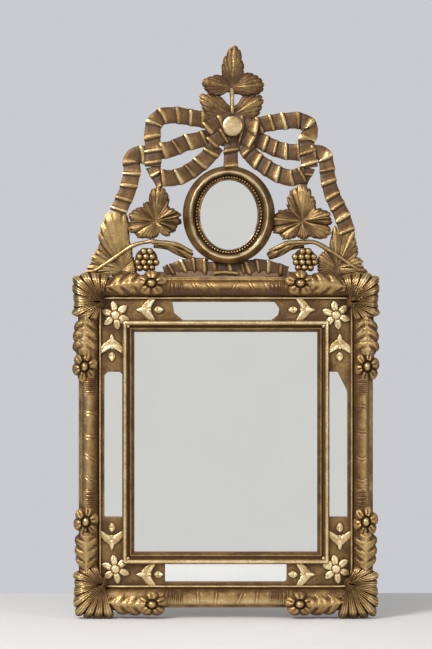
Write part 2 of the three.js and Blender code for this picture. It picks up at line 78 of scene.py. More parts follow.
def carve(columns, rows, form, middle):
    """Adds a grid and works each of its points to the place, depth and gilt tone that the form gives; that
    tone holds gold leaf as well as painted highlights and painted shade.
    """
    bpy.ops.object.select_all(action="DESELECT")
    bpy.ops.mesh.primitive_grid_add(x_subdivisions=columns, y_subdivisions=rows, size=2)
    carving = bpy.context.object
    flat = np.empty(len(carving.data.vertices) * 3)
    carving.data.vertices.foreach_get("co", flat)
    step = np.rint((flat.reshape(-1, 3)[:, :2] + 1) / 2 * (columns, rows)).astype(int)
    across, up, depth, gilding_and_painted_light = form(step[:, 0], step[:, 1])
    worked = np.stack([across + 0 * depth, -depth, up + middle + 0 * depth], axis=1) * MM
    carving.data.vertices.foreach_set("co", worked.ravel())
    leaf = carving.data.attributes.new("gilding_and_painted_light", "FLOAT", "POINT")
    leaf.data.foreach_set("value", (gilding_and_painted_light + 0 * depth).astype(np.float32))
    bpy.ops.object.mode_set(mode="EDIT")
    bpy.ops.mesh.select_all(action="SELECT")
    bpy.ops.mesh.remove_doubles(threshold=0.00002)
    bpy.ops.mesh.normals_make_consistent(inside=False)
    bpy.ops.object.mode_set(mode="OBJECT")
    return carving


def joined(name, carvings):
    """Joins carvings into one piece of that name."""
    bpy.ops.object.select_all(action="DESELECT")
    for carving in carvings:
        carving.select_set(True)
    bpy.context.view_layer.objects.active = carvings[0]
    bpy.ops.object.join()
    piece = bpy.context.object
    piece.name = name
    piece.data.name = name
    bpy.ops.object.shade_smooth_by_angle(angle=0.75)
    return piece


# The rail's section, [distance out from the sight edge, depth, gilding with painted light]: bead, half-round,
# fillet, back. A painted highlight runs along the bead's front and the half-round's top and outer flank, and
# the half-round's inner flank is left dark as painted shade.
ROUND_MIDDLE = 73
ROUND_RADIUS = 13.5
ROUND_FOOT = 21
ROUND_RISE = 15
BEAD_MIDDLE = 56.8
BEAD_RADIUS = 2.4
BEAD_FOOT = 22
BEAD_RISE = 3
bead_turn = np.linspace(np.pi, 0.15, 7)
round_turn = np.linspace(np.pi, 0, 19)
rail_out = np.concatenate([
    [RAIL_LIP], BEAD_MIDDLE + BEAD_RADIUS * np.cos(bead_turn),
    ROUND_MIDDLE + ROUND_RADIUS * np.cos(round_turn),
    [88, RAIL_OUTER - 0.6, RAIL_OUTER, RAIL_OUTER, RAIL_BACK, RAIL_BACK]])
rail_depth = np.concatenate([
    [20], BEAD_FOOT + BEAD_RISE * np.sin(bead_turn), ROUND_FOOT + ROUND_RISE * np.sin(round_turn),
    [20.5, 19.6, 18.6, 0, 0, 20]])
rail_gilding_and_painted_light = np.concatenate([
    [0.2], 0.25 + 0.6 * np.sin(bead_turn) ** 0.5, 0.14 + 0.66 * smooth((2.2 - round_turn) / 1.3),
    [0.3, 0.4, 0.3, -1, -1, -1]])
rail_swell = np.concatenate([np.zeros(8), np.sin(round_turn) ** 0.5, np.zeros(6)])
rail_side = np.concatenate([np.zeros(8), -np.cos(round_turn), np.zeros(6)])

# Reeded sleeves and bands cut across each rail, at places along it from its middle
SLEEVE = {"top": (70, 105), "bottom": (70, 105), "left": (78, 114), "right": (78, 114)}
REED = 3.2
REED_CUT = 0.75
SLEEVE_RISE = 1.6
BAND_HALF_WIDTH = 2.6
BANDS = {
    "top": [(-50, 6, 0), (-25, 7, 0), (13, -7, 0), (44, 6, 0), (69, 5, 0)],
    "right": [(54, 0, 6), (18, 0, 0), (-20, 0, -8), (-56, 0, -8)],
    "bottom": [(-46, 0, 0), (-16, 2, 0), (24, 7, 0), (52, 2, 0)],
    "left": [(45, 0, 5), (10, 0, 0), (-24, -8, 0), (-59, -8, 0)],
}
SIDES = {"top": (0, 1), "right": (1, 0), "bottom": (0, -1), "left": (-1, 0)}
SIDE_TONE = {"top": -0.2, "right": -0.12, "bottom": 0.06, "left": 0.0}

fine = np.arange(-114, 114.1, 0.9)
coarse = np.linspace(118, 178, 9)
along_rail = np.concatenate([-coarse[::-1], fine, coarse])
rail_stations = len(along_rail) + 1


def rails(i, j):
    """The whole rail, side by side round the rectangle, with its sleeves and bands."""
    j = j % len(rail_out)
    i = i % (4 * rail_stations)
    side, station = np.divmod(i, rail_stations)
    way = np.array([1, -1, -1, 1])[side]
    along = way * np.concatenate([[0], along_rail])[station]
    out, depth, gilding_and_painted_light = rail_out[j].copy(), rail_depth[j].copy(), rail_gilding_and_painted_light[j].copy()
    for index, (name, bands) in enumerate(BANDS.items()):
        here = (side == index) & (station > 0)
        near, far = SLEEVE[name]
        place = np.abs(along)
        sleeve = smooth((place - near) / 1.5) * smooth((far - place) / 1.5) * here * rail_swell[j]
        reed = np.cos(2 * np.pi * (place - near) / REED)
        depth += sleeve * (SLEEVE_RISE + REED_CUT * reed)
        gilding_and_painted_light += here * rail_swell[j] * SIDE_TONE[name]
        # Painted highlight on each reed's crest and painted shade in its groove.
        gilding_and_painted_light += sleeve * 0.28 * (reed - 0.35)
        for middle, slant, bow in bands:
            off = along - middle - slant * rail_side[j] - bow * (1 - rail_side[j] ** 2)
            cut = np.exp(-((np.abs(off) - BAND_HALF_WIDTH) / 1.3) ** 2) * here * rail_swell[j]
            depth -= cut
            # Painted highlight along each band's middle and painted shade in its two cuts.
            gilding_and_painted_light += here * rail_swell[j] * (0.12 * np.exp(-(off / 1.6) ** 2) - 0.3 * cut)
    corner = station == 0
    across_way = np.array([-1, 1, 1, -1])[side]
    up_way = np.array([1, 1, -1, -1])[side]
    flank = np.array([SIDES[name] for name in BANDS])[side]
    across = np.where(corner, across_way * (SIGHT_ACROSS + out),
                      np.where(flank[:, 0] == 0, along, flank[:, 0] * (SIGHT_ACROSS + out)))
    up = np.where(corner, up_way * (SIGHT_UP + out),
                  np.where(flank[:, 1] == 0, along, flank[:, 1] * (SIGHT_UP + out)))
    return across, up, depth, gilding_and_painted_light


def outline_reach(heart, outline, rounding=5):
    """An outline's reach from its heart in 720 directions, and how far each is from the nearest tip."""
    away = np.array(outline, float) - np.array(heart, float)
    turn = np.arctan2(away[:, 1], away[:, 0])
    order = np.argsort(turn)
    turn, reach = turn[order], np.hypot(away[:, 0], away[:, 1])[order]
    stands_out = (reach >= np.roll(reach, 1)) & (reach >= np.roll(reach, -1))
    round_about = np.linspace(-np.pi, np.pi, 721)[:-1]
    full = np.interp(round_about, turn, reach, period=2 * np.pi)
    gap = np.angle(np.exp(1j * (round_about[:, None] - turn[stands_out][None, :])))
    nearest = np.argmin(np.abs(gap), axis=1)
    off_tip = gap[np.arange(720), nearest]
    spread = np.array([max(np.abs(off_tip[nearest == k]).max(initial=0), 0.1) for k in range(gap.shape[1])])
    kernel = np.hanning(rounding + 2)[1:-1]
    wrapped = np.concatenate([full[-rounding:], full, full[:rounding]])
    full = np.convolve(wrapped, kernel / kernel.sum(), mode="same")[rounding:-rounding]
    return full, np.clip(np.abs(off_tip) / spread[nearest], 0, 1), off_tip


RIM_ROWS = 2


def share_out(j, rows):
    """Share of the reach at each row of a relief: out over its face, then in again behind it."""
    return np.where(j <= rows, j / rows, np.where(j == rows + 1, 0.97, 0.0))


def relief(heart, outline, back, front, middle, columns=288, rows=18, lines=36, lobe=0.28, cut=0.5,
           tone=0.0):
    """A leaf cut to an outline: low lobes, each with a raised rib, and veins cut out from its heart."""
    full, bays, off_tip = outline_reach(heart, outline)

    def form(i, j):
        turn = -np.pi + 2 * np.pi * (i % columns) / columns
        place = (i % columns) * 720 // columns
        reach, bay = full[place], bays[place]
        share = share_out(j, rows)
        height = 0.74 + lobe * (1 - bay) * smooth(share / 0.5) - 0.2 * smooth((share - 0.86) / 0.14)
        rib = np.exp(-(off_tip[place] * reach * share / 1.7) ** 2)
        rib *= smooth((share - 0.06) / 0.2) * (1 - 0.6 * share)
        tooth = np.clip(np.cos(lines * turn), 0, 1) ** 4 * (lines > 0)
        vein = tooth * smooth(share / 0.35)
        reach = reach * (1 - 0.06 * tooth)
        behind = j > rows
        depth = np.where(behind, back, back + (front - back) * height + 0.9 * rib - cut * vein)
        # Painted light: higher lobes and raised ribs lighter as painted highlight, cut veins and the bays
        # between lobes darker as painted shade.
        gilding_and_painted_light = 0.02 + 0.45 * height + 0.3 * rib - 0.14 * vein - 0.14 * bay + tone
        return (heart[0] + reach * share * np.cos(turn), heart[1] + reach * share * np.sin(turn), depth,
                np.where(behind, -1.0, gilding_and_painted_light))

    return carve(columns, rows + RIM_ROWS, form, middle)


def fan(heart, tips, back, front, middle, columns=150, rows=15, flutes=3):
    """A fan of round lobes over a corner, each lobe lined with fine raised lines."""
    away = np.array(tips, float) - np.array(heart, float)
    turn = np.unwrap(np.arctan2(away[:, 1], away[:, 0]))
    reach_tip = np.hypot(away[:, 0], away[:, 1])
    if turn[-1] < turn[0]:
        turn, reach_tip = turn[::-1], reach_tip[::-1]
    half_pitch = np.diff(turn).mean() / 2
    first, last = turn[0] - half_pitch, turn[-1] + half_pitch
    HEEL = 7.0
    FACE_SHARE = 0.88

    def form(i, j):
        lap = (i % columns) / columns
        inside = lap <= FACE_SHARE
        heading = np.where(inside, first + (last - first) * lap / FACE_SHARE,
                           last + (first + 2 * np.pi - last) * (lap - FACE_SHARE) / (1 - FACE_SHARE))
        lobe = np.interp(heading, np.concatenate([[first], turn, [last]]),
                         np.concatenate([[-0.5], np.arange(len(turn)), [len(turn) - 0.5]]))
        swing = 2 * (lobe - np.rint(lobe))
        crown = np.sqrt(np.clip(1 - swing ** 2, 0, 1))
        reach = np.where(inside, np.interp(heading, turn, reach_tip) * (0.89 + 0.11 * crown ** 0.7), HEEL)
        share = share_out(j, rows)
        groove = (1 - crown ** 0.6) * smooth((share - 0.22) / 0.65)
        height = 0.86 + 0.12 * np.sin(np.pi * share) - 0.2 * groove - 0.36 * smooth((share - 0.78) / 0.22)
        line = np.cos(np.pi * flutes * swing + 0.6 * np.sin(3 * lobe)) * smooth(share / 0.25) * crown ** 0.5
        height = np.where(inside, height, 0.86 - 0.5 * share)
        line = np.where(inside, line, 0)
        behind = j > rows
        depth = np.where(behind, back, back + (front - back) * height + 0.65 * line)
        # Painted light: raised lines and the lobes' outer crowns lighter as painted highlight, the grooves
        # between lobes darker as painted shade.
        gilding_and_painted_light = 0.5 * height + 0.2 * line - 0.25 * groove + 0.3 * smooth((share - 0.5) / 0.3) * crown
        return (heart[0] + reach * share * np.cos(heading), heart[1] + reach * share * np.sin(heading), depth,
                np.where(behind, -1.0, np.maximum(gilding_and_painted_light, -0.05)))

    return carve(columns, rows + RIM_ROWS, form, middle)


def flower(heart, reach, back, front, middle, petals=5, start=0.25, notch=0.3, pointed=0.0, tone=0.0):
    """A flower of cupped petals, each creased along its middle, about a domed heart."""
    columns, rows, button = 18 * petals, 16, 0.3

    def form(i, j):
        lap = (i % columns) / columns
        swing = 2 * ((lap * petals - start + 0.5) % 1) - 1
        crown = np.sqrt(np.clip(1 - swing ** 2, 0, 1))
        share = share_out(j, rows)
        cup = np.sin(np.pi * np.clip(share * 0.8 + 0.14, 0, 1)) ** 0.7
        crease = np.exp(-(swing / 0.2) ** 2) * smooth((share - 0.38) / 0.15) * smooth((1.02 - share) / 0.3)
        petal = 0.42 + 0.42 * crown ** 0.6 * cup - 0.1 * crease
        moat = np.exp(-((share - button - 0.04) / 0.05) ** 2)
        dome = 0.7 + 0.3 * np.sqrt(np.clip(1 - (share / button) ** 2, 0, 1))
        height = np.where(share < button, dome, 0.64 + (petal - 0.64) * smooth((share - button) / 0.16))
        behind = j > rows
        depth = np.where(behind, back, back + (front - back) * height)
        # Painted light: higher parts lighter as painted highlight; the moat round the heart, the petal
        # creases and the gaps between petals darker as painted shade.
        gilding_and_painted_light = 0.9 * height - 0.14 - (0.14 + 0.8 * tone) * moat - 0.2 * crease
        gilding_and_painted_light -= 0.2 * (1 - crown) * (share > button)
        gilding_and_painted_light += np.where(share < button, 0.5 * tone, tone)
        tip = (1 - pointed) * crown ** 0.8 + pointed * (1 - np.abs(swing)) ** 0.8
        away = (1 - notch * (1 - tip) * smooth((share - button) / 0.3)) * share
        turn = 2 * np.pi * lap
        return (heart[0] + reach[0] * away * np.cos(turn), heart[1] + reach[1] * away * np.sin(turn), depth,
                np.where(behind, -1.0, np.maximum(gilding_and_painted_light, -0.05)))

    return carve(columns, rows + RIM_ROWS, form, middle)


def run_along(points, step=0.5):
    """Places and headings at even steps along a smooth curve through the points."""
    points = np.array(points, float)
    ends = np.concatenate([[2 * points[0] - points[1]], points, [2 * points[-1] - points[-2]]])
    curve = []
    for p, q, r, s in zip(ends, ends[1:], ends[2:], ends[3:]):
        t = np.linspace(0, 1, 40, endpoint=False)[:, None]
        curve.append(0.5 * (2 * q + (r - p) * t + (2 * p - 5 * q + 4 * r - s) * t ** 2
                            + (3 * q - p - 3 * r + s) * t ** 3))
    curve = np.concatenate(curve + [points[-1:]])
    length = np.concatenate([[0], np.cumsum(np.hypot(*np.diff(curve, axis=0).T))])
    even = np.linspace(0, length[-1], max(4, int(length[-1] / step)))
    place = np.stack([np.interp(even, length, curve[:, k]) for k in (0, 1)], axis=1)
    heading = np.gradient(place, axis=0)
    heading /= np.hypot(heading[:, 0], heading[:, 1])[:, None]
    return place, heading, length[-1]


FRONT_ROWS = 11


def swept(points, back, shape, middle, pitch=1.2):
    """A carving run along a curve: the shape gives its half-width, depth and gilt tone, with its painted
    highlights and shade, at each place.
    """
    place, heading, length = run_along(points)
    columns = max(8, int(length / pitch)) + 2
    ring = 2 * (FRONT_ROWS + 1)

    def form(i, j):
        share = np.clip((i - 1) / (columns - 2), 0, 1)
        index = np.rint(share * (len(place) - 1)).astype(int)
        j = j % ring
        behind = j > FRONT_ROWS
        side = np.where(behind, 1 - 2 * (j - FRONT_ROWS - 1) / FRONT_ROWS, -1 + 2 * j / FRONT_ROWS)
        half, depth, gilding_and_painted_light = shape(share, side, length)
        hidden = behind | (i == 0) | (i == columns)
        return (place[index, 0] - heading[index, 1] * half * side,
                place[index, 1] + heading[index, 0] * half * side,
                np.where(hidden, back, depth), np.where(hidden, -1.0, gilding_and_painted_light))

    return carve(columns, ring, form, middle)


def frond(points, half_width, back, front, middle, leaflets=4):
    """A long leaf laid along the rail: pairs of leaflets point along it from a raised midrib."""
    def shape(share, side, length):
        out = np.abs(side)
        pair = leaflets * share - 0.75 * out
        rim = np.abs(np.sin(np.pi * (leaflets * share - 0.75))) ** 0.6
        taper = (0.6 + 0.4 * smooth(share / 0.45)) * smooth((1.2 - share) / 0.35)
        half = half_width * taper * (0.82 + 0.18 * rim)
        nick = np.exp(-(np.sin(np.pi * pair) / 0.26) ** 2) * smooth((out - 0.12) / 0.3)
        line = np.cos(2 * np.pi * 3 * pair) * smooth((out - 0.1) / 0.3)
        midrib = np.exp(-(side / 0.19) ** 2)
        body = 0.34 + 0.5 * np.sqrt(np.clip(1 - 0.94 * side ** 2, 0, 1))
        depth = back + (front - back) * (body + 0.13 * midrib + 0.03 * line - 0.21 * nick)
        # Painted light: the swelling body and the midrib lighter as painted highlight, the nicks between
        # leaflets darker as painted shade.
        gilding_and_painted_light = 0.02 + 0.6 * body + 0.24 * midrib + 0.14 * line - 0.6 * nick
        return half, depth, np.maximum(gilding_and_painted_light, -0.05)

    return swept(points, back, shape, middle)


# Corner carvings, placed in from the frame's outer corner, [across, down], for the top and the bottom.
# Each kind stands a little further out than the one it overlaps.
FAN_BACK, FAN_FRONT = 20.3, 44
COLLAR_BACK, COLLAR_FRONT = 20.8, 43
LEAF_BACK, LEAF_FRONT = 21.3, 44
FLOWER_BACK, FLOWER_FRONT = 21.8, 48
FALL_FLOWER_REACH, RUN_FLOWER_REACH = (21, 26), (26, 21)
CORNERS = {
    "top": {
        "fan": ((37, 40), [(-8, 36), (-10, 20), (-9, 1), (9, -6), (27, -6), (45, -3)]),
        "collar": ((37, 44), [(-7, 46), (-11, 62), (5, 72), (24, 74)]),
        "fall": ([(13, 60), (11, 96), (10, 130)], 20),
        "run": ([(46, 17), (76, 13), (108, 11)], 18),
        "fall flower": (11, 149),
        "run flower": (121, 11),
    },
    "bottom": {
        "fan": ((41, 40), [(-7, 28), (-8, 9), (-4, -12), (14, -16), (32, -17), (52, -17)]),
        "collar": ((40, 43), [(-6, 40), (-9, 56), (6, 69), (24, 72)]),
        "fall": ([(14, 58), (13, 92), (13, 126)], 19),
        "run": ([(46, 12), (78, 8), (110, 7)], 19),
        "fall flower": (13, 144),
        "run flower": (122, 8),
    },
}



def from_corner(points, hand, rise):
    """Places on the frame, from places measured in from one of its outer corners, [across, down]."""
    return [(hand * (HALF_ACROSS - across), rise * (HALF_UP - down)) for across, down in points]


frame_carvings = [carve(4 * rail_stations, len(rail_out), rails, FRAME_MIDDLE)]
for level, carving in CORNERS.items():
    for hand in (-1, 1):
        rise = 1 if level == "top" else -1
        for part, back, front in (("fan", FAN_BACK, FAN_FRONT), ("collar", COLLAR_BACK, COLLAR_FRONT)):
            heart, *tips = from_corner([carving[part][0], *carving[part][1]], hand, rise)
            frame_carvings.append(fan(heart, tips, back, front, FRAME_MIDDLE))
        for part, leaflets in (("fall", 4), ("run", 3)):
            points, half_width = carving[part]
            frame_carvings.append(frond(from_corner(points, hand, rise), half_width, LEAF_BACK, LEAF_FRONT,
                                        FRAME_MIDDLE, leaflets))
        for part, reach, petals in (("fall flower", FALL_FLOWER_REACH, 6),
                                    ("run flower", RUN_FLOWER_REACH, 5)):
            heart, = from_corner([carving[part]], hand, rise)
            frame_carvings.append(flower(heart, reach, FLOWER_BACK, FLOWER_FRONT, FRAME_MIDDLE, petals))
outer_frame = joined("carved_outer_frame", frame_carvings)


def aged_gilding_group():
    """Gold leaf over bole and gesso: rubbed through on worn places, with painted shade darkening the hollows
    and the gaps between parts, and a painted highlight in cream where the leaf runs brightest.
    """
    group = bpy.data.node_groups.new("aged_gilding", "ShaderNodeTree")
    for name, kind, default in (("Gilding And Painted Light", "NodeSocketFloat", 0.5), ("Wear", "NodeSocketFloat", 0.4),
                                ("Occlusion Shade", "NodeSocketFloat", 0.6), ("Gold", "NodeSocketColor", None),
                                ("Rubbed", "NodeSocketColor", None)):
        socket = group.interface.new_socket(name=name, in_out="INPUT", socket_type=kind)
        if default is not None:
            socket.default_value = default
    for name, kind in (("Color", "NodeSocketColor"), ("Metallic", "NodeSocketFloat"),
                       ("Roughness", "NodeSocketFloat"), ("Height", "NodeSocketFloat")):
        group.interface.new_socket(name=name, in_out="OUTPUT", socket_type=kind)
    nodes, links = group.nodes, group.links
    given = nodes.new("NodeGroupInput")
    result = nodes.new("NodeGroupOutput")
    place = nodes.new("ShaderNodeTexCoord")

    def noise(scale, detail, roughness=0.6):
        node = nodes.new("ShaderNodeTexNoise")
        node.inputs["Scale"].default_value = scale
        node.inputs["Detail"].default_value = detail
        node.inputs["Roughness"].default_value = roughness
        links.new(place.outputs["Object"], node.inputs["Vector"])
        return node.outputs["Fac"]

    def sum_of(operation, first, second, third=None):
        node = nodes.new("ShaderNodeMath")
        node.operation = operation
        for socket, value in zip(node.inputs, (first, second, third)):
            if value is None:
                continue
            if isinstance(value, (int, float)):
                socket.default_value = value
            else:
                links.new(value, socket)
        return node.outputs[0]

    def spread(value, low, high, to_low=0.0, to_high=1.0):
        node = nodes.new("ShaderNodeMapRange")
        node.interpolation_type = "SMOOTHSTEP"
        links.new(value, node.inputs["Value"])
        for socket, number in zip(("From Min", "From Max", "To Min", "To Max"), (low, high, to_low, to_high)):
            node.inputs[socket].default_value = number
        return node.outputs["Result"]

    def mixed(share, first, second):
        node = nodes.new("ShaderNodeMix")
        node.data_type = "RGBA"
        links.new(share, node.inputs["Factor"])
        for socket, value in ((node.inputs[6], first), (node.inputs[7], second)):
            if isinstance(value, tuple):
                socket.default_value = value
            else:
                links.new(value, socket)
        return node.outputs[2]

    patches = noise(38, 5)
    grit = noise(260, 6, 0.7)
    bloom = noise(90, 4)
    # Painted shade: ambient occlusion takes the gold away and darkens the colour in hollows and between
    # parts.
    occlusion_shade = nodes.new("ShaderNodeAmbientOcclusion")
    occlusion_shade.samples = 6
    occlusion_shade.inputs["Distance"].default_value = 0.014
    occluded_share = sum_of("SUBTRACT", 1.0, occlusion_shade.outputs["AO"])
    # The leaf value starts from each point's gilt tone, which also holds the painted highlights and painted
    # shade of the relief.
    leaf = sum_of("MULTIPLY_ADD", patches, 0.75, given.outputs["Gilding And Painted Light"])
    leaf = sum_of("MULTIPLY_ADD", grit, 0.5, leaf)
    leaf = sum_of("SUBTRACT", leaf, given.outputs["Wear"])
    leaf = sum_of("SUBTRACT", leaf, sum_of("MULTIPLY", occluded_share, given.outputs["Occlusion Shade"]))
    gold = spread(leaf, 0.12, 0.82)
    tint = mixed(spread(bloom, 0.35, 0.7), given.outputs["Gold"], (0.6, 0.4, 0.17, 1))
    # Painted highlight: where the leaf value runs highest the colour turns cream, as if light glinted on it.
    painted_highlight = spread(leaf, 0.72, 1.2)
    tint = mixed(painted_highlight, tint, (0.95, 0.78, 0.48, 1))
    toned = mixed(spread(patches, 0.36, 0.62), (0.1, 0.046, 0.014, 1), (0.17, 0.092, 0.032, 1))
    colour = mixed(gold, toned, tint)
    worn = spread(sum_of("MULTIPLY_ADD", grit, 0.6, leaf), 0.42, 0.2)
    colour = mixed(worn, colour, given.outputs["Rubbed"])
    # Painted shade: the colour goes almost to black where ambient occlusion finds hollows and gaps between
    # parts.
    painted_shade = spread(occluded_share, 0.35, 0.95)
    colour = mixed(painted_shade, colour, (0.022, 0.012, 0.005, 1))
    bare = spread(given.outputs["Gilding And Painted Light"], -0.15, -0.6)
    wood = mixed(spread(grit, 0.3, 0.7), (0.16, 0.09, 0.045, 1), (0.27, 0.17, 0.09, 1))
    colour = mixed(bare, colour, wood)
    links.new(colour, result.inputs["Color"])
    clothed = sum_of("SUBTRACT", 1.0, bare)
    intact = sum_of("MULTIPLY", sum_of("SUBTRACT", 1.0, worn), clothed)
    metal = sum_of("MULTIPLY", intact, sum_of("MULTIPLY_ADD", gold, 0.3, 0.66))
    links.new(metal, result.inputs["Metallic"])
    links.new(sum_of("MULTIPLY_ADD", gold, -0.16, sum_of("MULTIPLY_ADD", grit, 0.3, 0.32)),
              result.inputs["Roughness"])
    links.new(sum_of("MULTIPLY_ADD", gold, 0.35, grit), result.inputs["Height"])
    return group


aged_gilding = aged_gilding_group()


def gilding_material(name, wear, occlusion_shade, gold, rubbed, bump):
    """Gilt wood: the aged gilt finish with this piece's own wear and its own strength of painted shade in the
    hollows, over its carved relief.
    """
    material = bpy.data.materials.new(name)
    material.use_nodes = True
    nodes, links = material.node_tree.nodes, material.node_tree.links
    shader = nodes["Principled BSDF"]
    finish = nodes.new("ShaderNodeGroup")
    finish.node_tree = aged_gilding
    finish.inputs["Wear"].default_value = wear
    finish.inputs["Occlusion Shade"].default_value = occlusion_shade
    finish.inputs["Gold"].default_value = gold
    finish.inputs["Rubbed"].default_value = rubbed
    laid = nodes.new("ShaderNodeAttribute")
    laid.attribute_name = "gilding_and_painted_light"
    links.new(laid.outputs["Fac"], finish.inputs["Gilding And Painted Light"])
    links.new(finish.outputs["Color"], shader.inputs["Base Color"])
    links.new(finish.outputs["Metallic"], shader.inputs["Metallic"])
    links.new(finish.outputs["Roughness"], shader.inputs["Roughness"])
    relief_bump = nodes.new("ShaderNodeBump")
    relief_bump.inputs["Strength"].default_value = bump
    relief_bump.inputs["Distance"].default_value = 0.0012
    links.new(finish.outputs["Height"], relief_bump.inputs["Height"])
    links.new(relief_bump.outputs["Normal"], shader.inputs["Normal"])
    return material


def finished(piece, node, material):
    """Gives a piece its finish and sets it in place of its solid on the one rigid body."""
    piece.data.materials.clear()
    piece.data.materials.append(material)
    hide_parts(node)
    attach(piece, "root")


finished(outer_frame, "outer_frame", gilding_material(
    "gilt_frame", 0.52, 0.75, (0.5, 0.32, 0.125, 1), (0.1, 0.04, 0.015, 1), 0.5))


# Margin panel: a flat board with four shaped openings, its ground left rough and toned down.
# Low relief of a flower and two sprigs is cut at each corner and burnished bright against the ground, with a
# painted highlight laid over its gilding.
PANEL_BACK = 11
PANEL_FRONT = 19.7
PANEL_INNER = 10
OPENING_NEAR = 18
OPENING_FAR = 50
SIDE_TOP, SIDE_FOOT = 116.5, -124.5
TOP_HALF, BOTTOM_HALF = 89, 101
near_across, far_across = SIGHT_ACROSS + OPENING_NEAR, SIGHT_ACROSS + OPENING_FAR
near_up, far_up = SIGHT_UP + OPENING_NEAR, SIGHT_UP + OPENING_FAR
OPENINGS = {
    "left": [(-near_across, SIDE_FOOT), (-near_across, SIDE_TOP - 6), (-near_across - 6, SIDE_TOP),
             (-far_across + 6, SIDE_TOP), (-far_across, SIDE_TOP - 6), (-far_across, SIDE_FOOT)],
    "right": [(near_across, SIDE_FOOT), (far_across, SIDE_FOOT), (far_across, SIDE_TOP - 34),
              (far_across - 2, SIDE_TOP - 28), (far_across - 16, SIDE_TOP), (near_across, SIDE_TOP)],
    "top": [(-TOP_HALF + 20, near_up), (TOP_HALF - 16, near_up), (TOP_HALF - 2, near_up + 11),
            (TOP_HALF, far_up - 11), (TOP_HALF - 8, far_up), (-TOP_HALF, far_up),
            (-TOP_HALF + 3, near_up + 14)],
    "bottom": [(-BOTTOM_HALF, -far_up), (BOTTOM_HALF - 3, -far_up), (BOTTOM_HALF, -far_up + 3),
               (BOTTOM_HALF, -near_up), (-BOTTOM_HALF, -near_up)],
    "sight": [(-SIGHT_ACROSS - PANEL_INNER, -SIGHT_UP - PANEL_INNER),
              (SIGHT_ACROSS + PANEL_INNER, -SIGHT_UP - PANEL_INNER),
              (SIGHT_ACROSS + PANEL_INNER, SIGHT_UP + PANEL_INNER),
              (-SIGHT_ACROSS - PANEL_INNER, SIGHT_UP + PANEL_INNER)],
}


def prism(outline, back, front, middle):
    """A flat outline drawn across and up, extruded between two depths."""
    bpy.ops.object.select_all(action="DESELECT")
    bpy.ops.mesh.primitive_circle_add(vertices=len(outline), fill_type="NGON")
    block = bpy.context.object
    for vertex, (across, up) in zip(block.data.vertices, outline):
        vertex.co = (across * MM, -back * MM, (up + middle) * MM)
    bpy.ops.object.mode_set(mode="EDIT")
    bpy.ops.mesh.select_all(action="SELECT")
    bpy.ops.mesh.extrude_region_move(TRANSFORM_OT_translate={"value": (0, -(front - back) * MM, 0)})
    bpy.ops.mesh.select_all(action="SELECT")
    bpy.ops.mesh.normals_make_consistent(inside=False)
    bpy.ops.object.mode_set(mode="OBJECT")
    return block


board_across, board_up = SIGHT_ACROSS + RAIL_BACK - 0.3, SIGHT_UP + RAIL_BACK - 0.3
margin_board = prism([(-board_across, -board_up), (board_across, -board_up), (board_across, board_up),
                      (-board_across, board_up)], PANEL_BACK, PANEL_FRONT, FRAME_MIDDLE)
for outline in OPENINGS.values():
    opening = prism(outline, PANEL_BACK - 5, PANEL_FRONT + 5, FRAME_MIDDLE)
    cut = margin_board.modifiers.new("opening", "BOOLEAN")
    cut.operation = "DIFFERENCE"
    cut.object = opening
    bpy.context.view_layer.objects.active = margin_board
    bpy.ops.object.modifier_apply(modifier=cut.name)
    bpy.data.objects.remove(opening)
rounded = margin_board.modifiers.new("rubbed edges", "BEVEL")
rounded.width = 0.9 * MM
rounded.segments = 3
rounded.limit_method = "ANGLE"
bpy.ops.object.modifier_apply(modifier=rounded.name)
GROUND_GILDING = 0.12
ground = margin_board.data.attributes.new("gilding_and_painted_light", "FLOAT", "POINT")
for vertex, laid in zip(margin_board.data.vertices, ground.data):
    laid.value = GROUND_GILDING if vertex.co.y < -(PANEL_FRONT - 2) * MM else -1

# Low relief at each corner, placed like the corner carvings: a flower, a ridge on the mitre, two sprigs
RELIEF_BACK = PANEL_FRONT - 1
# Extra tone for the burnished relief, which also lifts it into the cream painted highlight.
BURNISHED_WITH_PAINTED_HIGHLIGHT = 0.42
PANEL_FLOWER, PANEL_FLOWER_REACH, PANEL_FLOWER_FRONT = (61, 64), (24, 24), PANEL_FRONT + 7
RIDGE_HEART, RIDGE_FRONT = (77, 77), PANEL_FRONT + 5
RIDGE = [(68, 68), (79, 73), (84, 84), (73, 79)]
SPRIG_FRONT = PANEL_FRONT + 4.5
SPRIG = {
    "arms": ((55, 113), [
        (55, 95), (59, 104), (64, 108), (70, 113), (75, 120), (74, 128), (69, 126), (63, 122), (58, 120),
        (55, 121), (52, 120), (47, 122), (41, 126), (36, 128), (35, 120), (40, 113), (46, 108), (51, 104)]),
    "bud": ((55, 132), [
        (55, 141), (51, 137), (49, 132), (52, 127), (55, 125), (58, 127), (61, 132), (59, 137)]),
}
panel_carvings = [margin_board]
for hand in (-1, 1):
    for rise in (-1, 1):
        heart, = from_corner([PANEL_FLOWER], hand, rise)
        panel_carvings.append(flower(heart, PANEL_FLOWER_REACH, RELIEF_BACK, PANEL_FLOWER_FRONT, FRAME_MIDDLE,
                                     petals=6, start=0.667, notch=0.62, pointed=0.7, tone=BURNISHED_WITH_PAINTED_HIGHLIGHT))
        heart, *outline = from_corner([RIDGE_HEART, *RIDGE], hand, rise)
        panel_carvings.append(relief(heart, outline, RELIEF_BACK, RIDGE_FRONT, FRAME_MIDDLE,
                                     columns=60, rows=8, lines=0, tone=0.35))
        for way in (1, -1):
            for middle, points in SPRIG.values():
                heart, *outline = from_corner([point[::way] for point in (middle, *points)], hand, rise)
                panel_carvings.append(relief(heart, outline, RELIEF_BACK, SPRIG_FRONT, FRAME_MIDDLE,
                                             columns=120, rows=12, lines=0, lobe=0.12, tone=BURNISHED_WITH_PAINTED_HIGHLIGHT))
margin_panel = joined("carved_margin_panel", panel_carvings)
